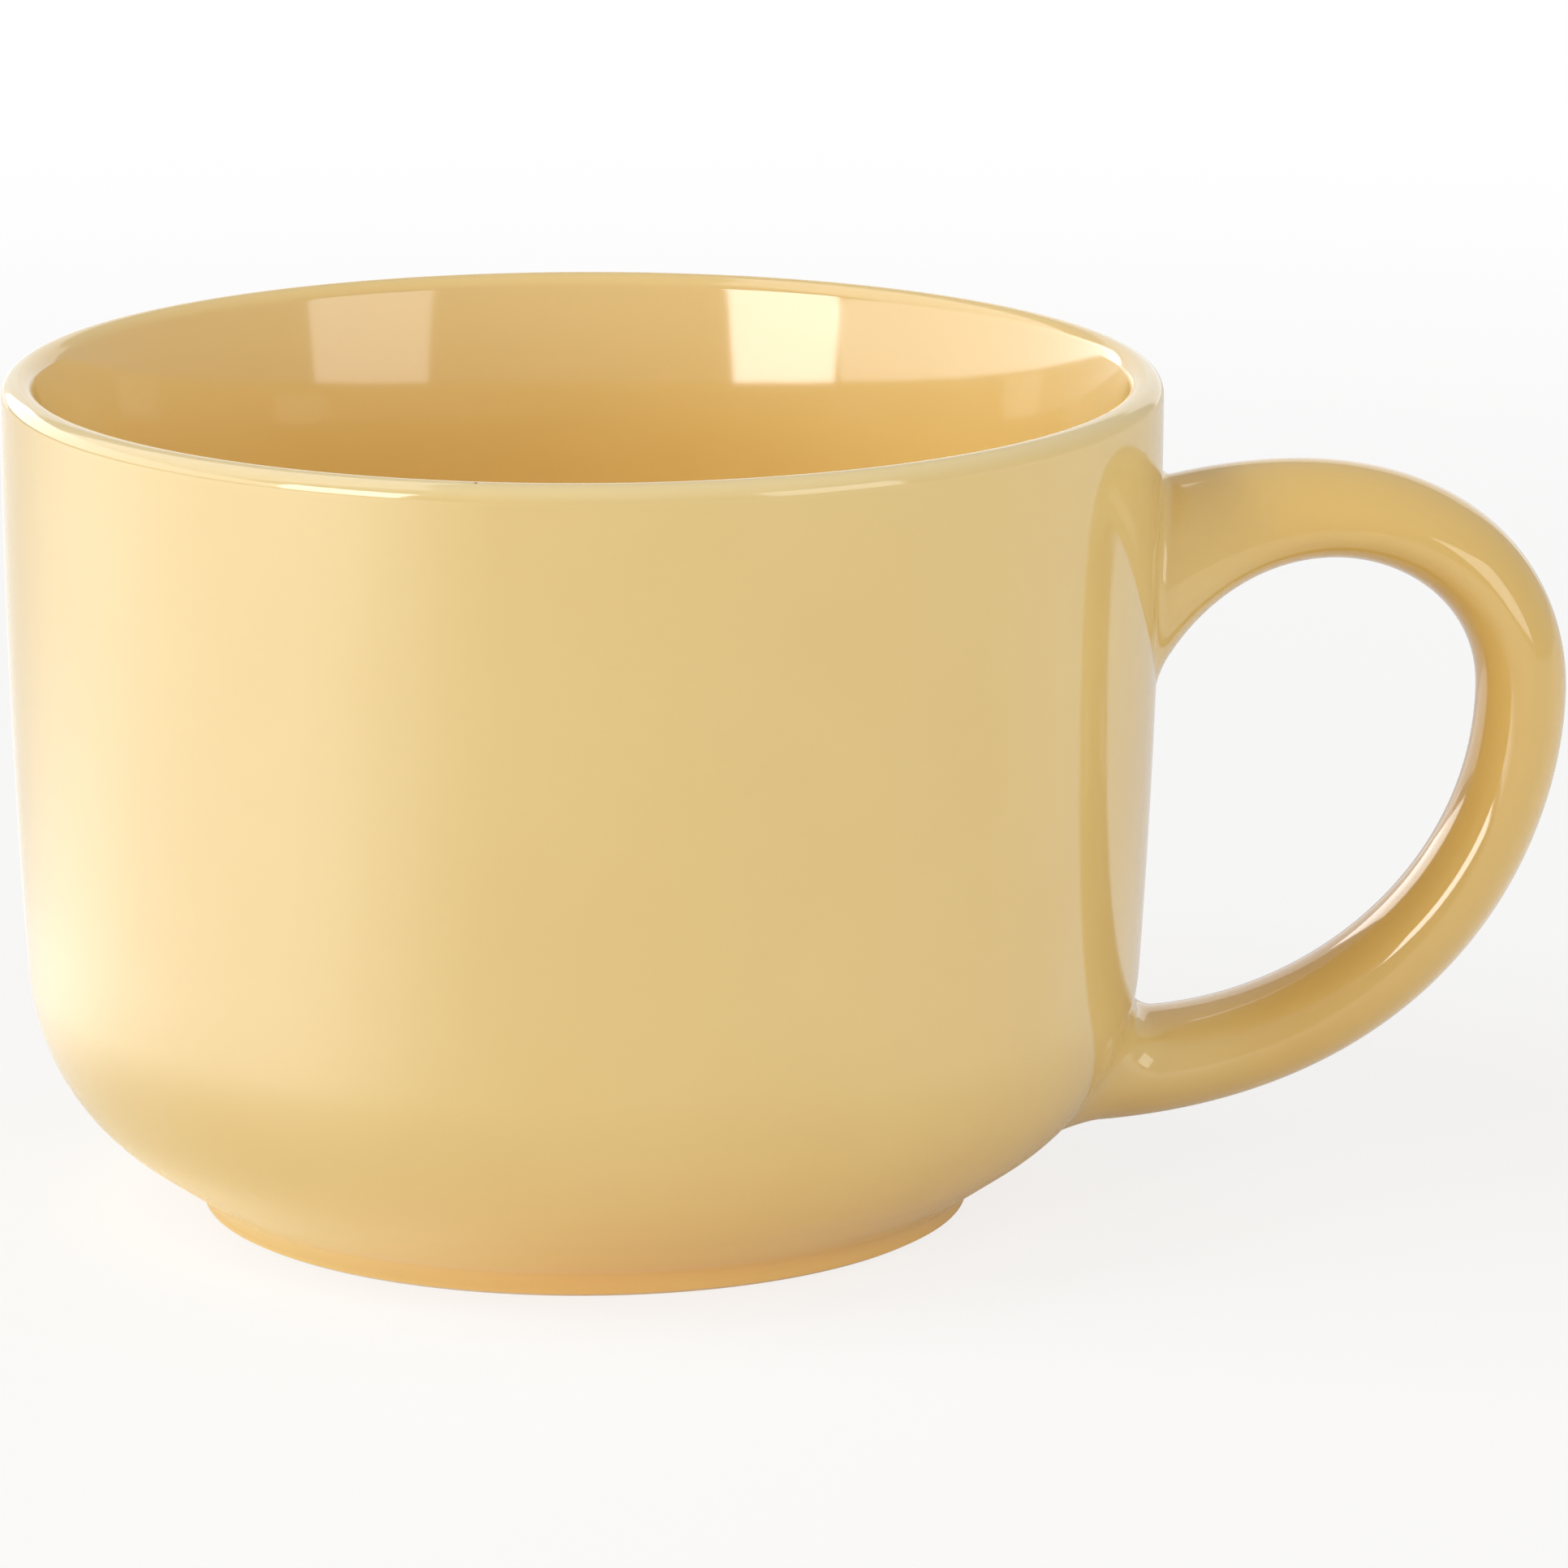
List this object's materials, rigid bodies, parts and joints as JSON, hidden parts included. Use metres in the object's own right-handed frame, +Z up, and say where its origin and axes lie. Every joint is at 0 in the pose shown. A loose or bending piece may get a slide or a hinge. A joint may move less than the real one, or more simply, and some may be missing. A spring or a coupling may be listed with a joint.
{
  "type": "soup mug",
  "caption": "Wide stoneware soup mug: an upright round bowl curving in to a low foot ring, with a looped side handle luted on and a glossy glaze over the clay.",
  "frame": {"origin": "on the bowl's axis, in the plane of the table that the foot ring stands on", "axes": "+Z up along the bowl's axis, +X from the axis out through the handle, +Y to the far side when the handle points right"},
  "size_m": [0.1596, 0.118, 0.0863],
  "materials": {
    "clay": "matt, bare fired stoneware",
    "slip": "matt, fired slip under the glaze",
    "glaze": "glossy butter-yellow glaze"
  },
  "bodies": {
    "root": {"bowl": "clay", "handle": "clay", "upper_slip_joint": "slip", "lower_slip_joint": "slip", "outside_glaze": "glaze", "inside_glaze": "glaze", "base_glaze": "glaze", "handle_glaze": "glaze"}
  },
  "joints": []
}
